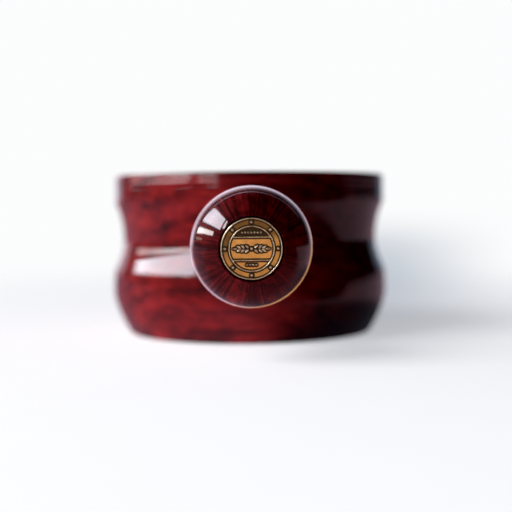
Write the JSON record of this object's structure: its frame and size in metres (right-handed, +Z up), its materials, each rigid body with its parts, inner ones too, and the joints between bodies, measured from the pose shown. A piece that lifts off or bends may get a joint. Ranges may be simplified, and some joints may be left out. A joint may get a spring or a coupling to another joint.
{
  "type": "handled bowl",
  "caption": "Squat turned hardwood bowl with a straight rim, a waist and a full belly, and a short screwed-on side handle that ends in a ball with a struck brass medallion in its end.",
  "frame": {"origin": "centre of the resting face, on the bowl's turning axis", "axes": "+Z up along the bowl's turning axis; the handle points along -Y; +X is to the right as seen from the handle's end"},
  "size_m": [0.1146, 0.1704, 0.0657],
  "materials": {
    "bowl_wood": "dark red figured hardwood under a high-gloss clear lacquer",
    "handle_wood": "dark red straight-grained hardwood under a high-gloss clear lacquer",
    "brass": "turned and lightly polished brass",
    "antique_brass": "struck brass with a dark patina in its hollows",
    "cork": "fine matt agglomerated cork",
    "leather": "dark brown matt leather",
    "rubber": "matt black rubber",
    "resin": "black casting resin"
  },
  "bodies": {
    "bowl_body": {"bowl": "bowl_wood", "foot_pad": "cork", "wall_bush": "brass", "seal_ring": "rubber", "bolt_washer": "brass", "handle_bolt": "brass", "collar_gasket": "leather"},
    "collar": {"handle_collar": "brass"},
    "handle": {"handle_grip": "handle_wood", "handle_insert": "brass", "medallion_bed": "resin", "medallion": "antique_brass"}
  },
  "joints": [
    {"name": "collar_slide", "type": "slide", "parent": "bowl_body", "child": "collar", "axis": [0, -1, 0], "range_m": [0, 0.012]},
    {"name": "handle_turn", "type": "hinge", "parent": "collar", "child": "handle", "pos_m": [0, -0.095, 0.039], "axis": [0, -1, 0], "range_deg": [0, 4321]}
  ],
  "couplings": [
    {"joint": "handle_turn", "follows": "collar_slide", "rad_per_m": 6283.2}
  ]
}
